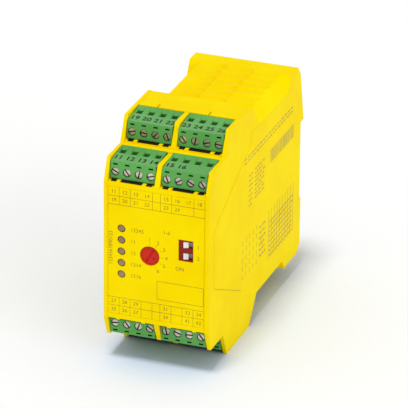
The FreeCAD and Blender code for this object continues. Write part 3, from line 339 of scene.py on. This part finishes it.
def figures(text, centre, height, turn=0.0, align="CENTER", weight=0.0):
    """Faces of a short number, placed by its middle or its left end; weight thickens its lines."""
    curve = bpy.data.curves.new("figures", "FONT")
    curve.body = text
    curve.size = height / FIGURE_SHARE
    curve.align_x = align
    curve.align_y = "CENTER"
    curve.offset = weight
    curve.resolution_u = 3
    holder = bpy.data.objects.new("figures", curve)
    bpy.context.scene.collection.objects.link(holder)
    bpy.context.view_layer.update()
    mesh = bpy.data.meshes.new_from_object(holder)
    place = Matrix.Translation((*centre, 0.0)) @ Matrix.Rotation(math.radians(turn), 4, "Z")
    faces = [[place @ mesh.vertices[i].co for i in face.vertices] for face in mesh.polygons]
    bpy.data.objects.remove(holder)
    bpy.data.curves.remove(curve)
    bpy.data.meshes.remove(mesh)
    return faces


def printed(name, faces, face_plane, material, body):
    """One piece of print: flat faces laid on a plane, riding on a body."""
    points = []
    rings = []
    for face in faces:
        rings.append(list(range(len(points), len(points) + len(face))))
        points += [face_plane @ point for point in face]
    mesh = bpy.data.meshes.new(name)
    mesh.from_pydata(points, [], rings)
    mesh.materials.append(material)
    piece = bpy.data.objects.new(name, mesh)
    bpy.context.scene.collection.objects.link(piece)
    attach(piece, body)
    return piece


def panel_face():
    """Face of the front panel, with places counted from the middle of the device."""
    return plane((0.0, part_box("front_panel")[0].y, 0.0), (1, 0, 0), (0, 0, 1))


def middle(node):
    """Middle of a CAD node, as (x, z)."""
    low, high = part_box(node)
    return Vector(((low.x + high.x) / 2.0, (low.z + high.z) / 2.0))


def column_edges():
    """Places of the label grids' upright rules, by numbers that count out from the middle."""
    edges = {}
    for number in range(1, GRID_HALF + 1):
        edges[number] = GRID_MIDDLE / 2.0 + (number - 1) * GRID_COLUMN
        edges[-number] = -edges[number]
    return edges


def cell_centres():
    """Middle of each terminal's cell, left to right."""
    places = [GRID_MIDDLE / 2.0 + (number + 0.5) * GRID_COLUMN for number in range(POLE_COUNT)]
    return [-x for x in reversed(places)] + places


def label_columns(heights, skipped):
    """Upright rules between the cells of one field of terminal labels."""
    edges = column_edges()
    return [stroke((x, heights[0]), (x, heights[2]), RULE_WIDTH) for number, x in edges.items()
            if number not in skipped and abs(number) < GRID_HALF]


def label_rule(z):
    """Level rule across all cells."""
    edges = column_edges()
    return stroke((edges[-GRID_HALF], z), (edges[GRID_HALF], z), RULE_WIDTH)


def panel_print(materials):
    """Label fields for the terminals, with plain running numbers, and the blank field."""
    uprights = label_columns(TOP_GRID, OPEN_COLUMNS) + label_columns(BOTTOM_GRID, ())
    level = [label_rule(z) for z in TOP_GRID[1:] + BOTTOM_GRID[:2]]
    x0, x1, z1, z0 = BLANK_FIELD
    printed("label_columns", uprights, panel_face(), materials["ink"], "housing")
    printed("label_rows", level + frame_lines(x0, x1, z0, z1), panel_face() @ SECOND_LAYER,
            materials["ink"], "housing")
    numbers = []
    centres = cell_centres()
    for row, heights in enumerate((TOP_GRID[:2], TOP_GRID[1:], BOTTOM_GRID[:2], BOTTOM_GRID[1:])):
        for column, x in enumerate(centres):
            if (row, column) in BLANK_CELLS:
                continue
            number = FIRST_NUMBER + row * len(centres) + column
            numbers += figures(str(number), (x, sum(heights) / 2.0), FIGURE_HEIGHT)
    printed("terminal_numbers", numbers, panel_face(), materials["ink"], "housing")


def dial_print(materials):
    """Numbers and ticks round the knob, and the range over them."""
    centre = middle("rotary_knob")
    marks = figures("1-%d" % DIAL_POSITIONS, DIAL_TITLE, FIGURE_HEIGHT)
    for position in range(DIAL_POSITIONS):
        angle = math.radians(position * DIAL_STEP)
        way = Vector((math.sin(angle), math.cos(angle)))
        marks += figures(str(position + 1), centre + way * DIAL_RADIUS, FIGURE_HEIGHT)
        marks.append(stroke(centre + way * TICK_START, centre + way * TICK_END, RULE_WIDTH))
    printed("dial_numbers", marks, panel_face(), materials["ink"], "housing")


def lamp_print(materials):
    """A short number beside each lamp, and an upright line of figures at the left edge."""
    marks = []
    for index, label in enumerate(LAMP_LABELS, 1):
        lens = "led_lens_%d" % index
        place = (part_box(lens)[1].x + LAMP_LABEL_GAP, middle(lens).y)
        marks += figures(label, place, FIGURE_HEIGHT, align="LEFT")
    marks += figures(UPRIGHT_FIGURES, UPRIGHT_LINE, FIGURE_HEIGHT, turn=90.0)
    printed("lamp_numbers", marks, panel_face(), materials["ink"], "housing")


def coding_print(materials):
    """ON under the coding switch and a number beside each of its slides."""
    marks = figures("ON", CODING_ON, FIGURE_HEIGHT)
    for index in (1, 2):
        marks += figures(str(index), (CODING_MARK_X, middle("dip_slider_%d" % index).y), FIGURE_HEIGHT)
    printed("coding_marks", marks, panel_face(), materials["ink"], "housing")


def plug_names():
    """Names of the eight plugs, in the order of their numbers."""
    return ["%s_%s_%s" % (level, tier, side) for level in ("top", "bottom")
            for tier in ("front", "rear") for side in ("left", "right")]


def plug_print(materials):
    """Marking strip, painted lighter green as sheen, and four black numbers on the sloping top of every
    terminal plug.
    """
    for plug_number, name in enumerate(plug_names()):
        low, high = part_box("plug_body_" + name)
        centre = (low.x + high.x) / 2.0
        run = PLUG_DEPTH - PLUG_LEAN
        if name.startswith("top"):
            slope = plane((centre, low.y + PLUG_LEAN, high.z - PLUG_RISE), (1, 0, 0), (0, run, PLUG_RISE))
            rows = (STRIP_MARGIN, STRIP_DEPTH)
        else:
            slope = plane((centre, low.y + PLUG_LEAN, low.z + PLUG_RISE), (1, 0, 0), (0, -run, PLUG_RISE))
            rows = (-STRIP_DEPTH, -STRIP_MARGIN)
        half = (high.x - low.x) / 2.0 - STRIP_MARGIN
        printed("strip_" + name, [patch(-half, half, *rows)], slope, materials["strip"],
                "plug_" + name)
        level = POLE_FIGURE_PLACE if name.startswith("top") else -POLE_FIGURE_PLACE
        numbers = []
        for pole in range(POLE_COUNT):
            if (name, pole) in UNUSED_POLES:
                continue
            x = (pole - (POLE_COUNT - 1) / 2.0) * POLE_PITCH
            number = FIRST_NUMBER + plug_number * POLE_COUNT + pole
            numbers += figures(str(number), (x, level), POLE_FIGURE, weight=POLE_WEIGHT)
        printed("pole_numbers_" + name, numbers, slope @ SECOND_LAYER, materials["ink_black"],
                "plug_" + name)


def scaled(area):
    """Millimetres to metres."""
    return [value * MM for value in area]


def side_print(materials):
    """Plain stand-ins for the print on the right side (bars, rows of dashes, rules), and a painted shadow
    line along the raised field's lower edge.
    """
    chance = random.Random(7)
    face = plane((CAD_BOX[1].x, CAD_BOX[0].y, 0.0), (0, 1, 0), (0, 0, 1))
    marks = bars(chance)
    for area, row, dash in SMALL_PRINT:
        marks += dashes(scaled(area), row * MM, dash * MM, chance)
    printed("side_marks", marks, face, materials["side_ink"], "housing")
    uprights = columns(scaled(TABLE), TABLE_COLUMNS)
    uprights += columns(scaled(DIAGRAM), DIAGRAM_COLUMNS, DIAGRAM_DASH * MM)
    printed("side_columns", uprights, face @ SECOND_LAYER, materials["side_ink"], "housing")
    # painted shadow: a dark stroke where the raised field's lower step faces down
    start, end = FIELD_EDGE_SHADOW
    printed("field_edge_shadow", [stroke(scaled(start), scaled(end), RULE_WIDTH)], face, materials["ink"],
            "housing")


def bars(chance):
    """Upright bars of uneven widths."""
    d0, d1, z0, z1 = scaled(BARS)
    step = (d1 - d0) / BAR_COUNT
    starts = [d0 + index * step for index in range(BAR_COUNT)]
    return [patch(start, start + step * chance.uniform(*BAR_SHARES), z0, z1) for start in starts]


def dashes(area, row, dash, chance):
    """Rows of short dashes that stand for lines of small print."""
    d0, d1, z0, z1 = area
    marks = []
    z = z1 - row / 2.0
    while z > z0:
        d = d0
        while d < d1 - dash:
            length = dash * chance.uniform(*DASH_SHARES)
            marks.append(patch(d, d + length, z - row * DASH_HALF, z + row * DASH_HALF))
            d += length + dash * chance.uniform(*DASH_GAPS)
        z -= row
    return marks


def columns(area, count, dash=None):
    """Evenly spread upright rules, whole or dashed."""
    d0, d1, z0, z1 = area
    marks = []
    for index in range(count + 1):
        d = d0 + (d1 - d0) * index / count
        if dash is None:
            marks.append(stroke((d, z1), (d, z0), UPRIGHT_WIDTH))
            continue
        z = z1
        while z > z0 + dash:
            marks.append(stroke((d, z), (d, z - dash), UPRIGHT_WIDTH))
            z -= dash * (1.0 + DIAGRAM_GAP)
    return marks


def coding_channels(materials):
    """Grey patch on the floor of each slide's channel, right of the white lever: the slide's white base
    with painted shade.
    """
    for index in (1, 2):
        low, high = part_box("dip_slider_%d" % index)
        face = plane((0.0, low.y + CHANNEL_SINK, 0.0), (1, 0, 0), (0, 0, 1))
        end = high.x + CHANNEL_LENGTH
        printed("coding_channel_%d" % index, [patch(high.x + CHANNEL_GAP, end, low.z, high.z)], face,
                materials["channel"], "housing")


# ---------------------------------------------------------------- stage, light and camera

def make_stage(materials):
    """Floor at the height of the part's lowest point."""
    corners = patch(-FLOOR_HALF, FLOOR_HALF, -FLOOR_HALF, FLOOR_HALF)
    level = Vector((0.0, 0.0, CAD_BOX[0].z))
    mesh = bpy.data.meshes.new("floor")
    mesh.from_pydata([corner + level for corner in corners], [], [(0, 1, 2, 3)])
    mesh.materials.append(materials["floor"])
    floor = bpy.data.objects.new("floor", mesh)
    bpy.context.scene.collection.objects.link(floor)


def floor_material():
    """White floor with painted shadow: it darkens in the narrow gap where the part stands, and a painted
    cool tone beside it offsets the yellow light thrown on it.
    """
    material = bpy.data.materials.new("floor_white_painted_shadow")
    material.use_nodes = True
    links = material.node_tree.links
    shader = material.node_tree.nodes["Principled BSDF"]
    shader.inputs["Roughness"].default_value = 1.0
    shader.inputs["Specular IOR Level"].default_value = 0.0
    both = material.node_tree.nodes.new("ShaderNodeMix")
    both.data_type = "RGBA"
    both.blend_type = "MULTIPLY"
    both.inputs["Factor"].default_value = 1.0
    # painted contact shadow, multiplied by the painted cool tone
    links.new(near_tones(material, CONTACT_SHADOW_REACH, CONTACT_SHADOW_STOPS), both.inputs["A"])
    links.new(near_tones(material, BOUNCE_REACH, BOUNCE_STOPS), both.inputs["B"])
    links.new(both.outputs["Result"], shader.inputs["Base Color"])
    return material


def near_tones(material, reach, stops):
    """Painted light and shade: colour by how much stands within reach of a point; stops are (open share,
    colour).
    """
    nodes = material.node_tree.nodes
    cover = nodes.new("ShaderNodeAmbientOcclusion")
    cover.samples = COVER_SAMPLES
    cover.inputs["Distance"].default_value = reach
    tones = nodes.new("ShaderNodeValToRGB")
    elements = tones.color_ramp.elements
    while len(elements) < len(stops):
        elements.new(0.5)
    for element, (place, colour) in zip(elements, stops):
        element.position = place
        element.color = linear(colour)
    material.node_tree.links.new(cover.outputs["AO"], tones.inputs["Fac"])
    return tones.outputs["Color"]


def make_world():
    """White surroundings: full white where seen or mirrored, about half as strong as light."""
    world = bpy.data.worlds.new("studio")
    bpy.context.scene.world = world
    world.use_nodes = True
    nodes = world.node_tree.nodes
    links = world.node_tree.links
    lit = nodes["Background"]
    lit.inputs["Color"].default_value = (1.0, 1.0, 1.0, 1.0)
    lit.inputs["Strength"].default_value = AMBIENT
    seen = nodes.new("ShaderNodeBackground")
    seen.inputs["Color"].default_value = (1.0, 1.0, 1.0, 1.0)
    seen.inputs["Strength"].default_value = 1.0
    path = nodes.new("ShaderNodeLightPath")
    first = nodes.new("ShaderNodeMath")
    first.operation = "MAXIMUM"
    links.new(path.outputs["Is Camera Ray"], first.inputs[0])
    links.new(path.outputs["Is Glossy Ray"], first.inputs[1])
    second = nodes.new("ShaderNodeMath")
    second.operation = "MAXIMUM"
    links.new(first.outputs[0], second.inputs[0])
    links.new(path.outputs["Is Transmission Ray"], second.inputs[1])
    mix = nodes.new("ShaderNodeMixShader")
    links.new(second.outputs[0], mix.inputs[0])
    links.new(lit.outputs[0], mix.inputs[1])
    links.new(seen.outputs[0], mix.inputs[2])
    links.new(mix.outputs[0], nodes["World Output"].inputs["Surface"])


def make_lamp(name, share, source, spread):
    """Lamp far away; a share of 1 lights a white face towards it to full white."""
    lamp = bpy.data.lights.new(name, "SUN")
    lamp.energy = share * math.pi
    lamp.angle = math.radians(spread)
    holder = bpy.data.objects.new(name, lamp)
    holder.location = source
    holder.rotation_euler = (-Vector(source)).to_track_quat("-Z", "Y").to_euler()
    bpy.context.scene.collection.objects.link(holder)


def make_camera():
    """Camera in front, above and to the right, aimed near the middle of the part."""
    azimuth = math.radians(CAMERA_AZIMUTH)
    elevation = math.radians(CAMERA_ELEVATION)
    ahead = Vector((-math.sin(azimuth) * math.cos(elevation), math.cos(azimuth) * math.cos(elevation),
                    -math.sin(elevation)))
    target = Vector((TARGET_RIGHT, CAD_BOX[0].y + TARGET_DEPTH, TARGET_UP))
    data = bpy.data.cameras.new("camera")
    data.sensor_width = CAMERA_SENSOR
    data.lens = CAMERA_LENS
    data.clip_start = CAMERA_NEAR
    data.clip_end = CAMERA_FAR
    camera = bpy.data.objects.new("camera", data)
    aim = ahead.to_track_quat("-Z", "Y").to_matrix().to_4x4()
    roll = Matrix.Rotation(math.radians(CAMERA_ROLL), 4, "Z")
    camera.matrix_world = Matrix.Translation(target - ahead * CAMERA_DISTANCE) @ aim @ roll
    bpy.context.scene.collection.objects.link(camera)
    bpy.context.scene.camera = camera


with open("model.json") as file:
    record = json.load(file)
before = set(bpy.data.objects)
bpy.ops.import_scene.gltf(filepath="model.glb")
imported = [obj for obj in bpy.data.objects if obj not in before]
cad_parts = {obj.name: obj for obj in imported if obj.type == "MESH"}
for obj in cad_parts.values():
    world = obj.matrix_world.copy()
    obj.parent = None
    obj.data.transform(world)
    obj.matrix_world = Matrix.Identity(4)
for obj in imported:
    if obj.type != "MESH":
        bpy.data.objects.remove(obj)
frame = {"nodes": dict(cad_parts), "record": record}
CAD_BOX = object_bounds()

MATERIALS = make_materials()
dress_cad(MATERIALS)
panel_print(MATERIALS)
dial_print(MATERIALS)
lamp_print(MATERIALS)
coding_print(MATERIALS)
plug_print(MATERIALS)
side_print(MATERIALS)
coding_channels(MATERIALS)
make_stage(MATERIALS)
make_world()
make_lamp("key", KEY_SHARE, KEY_FROM, KEY_SPREAD)
make_lamp("fill", FILL_SHARE, FILL_FROM, FILL_SPREAD)
make_camera()
bpy.context.scene.view_settings.view_transform = "Standard"
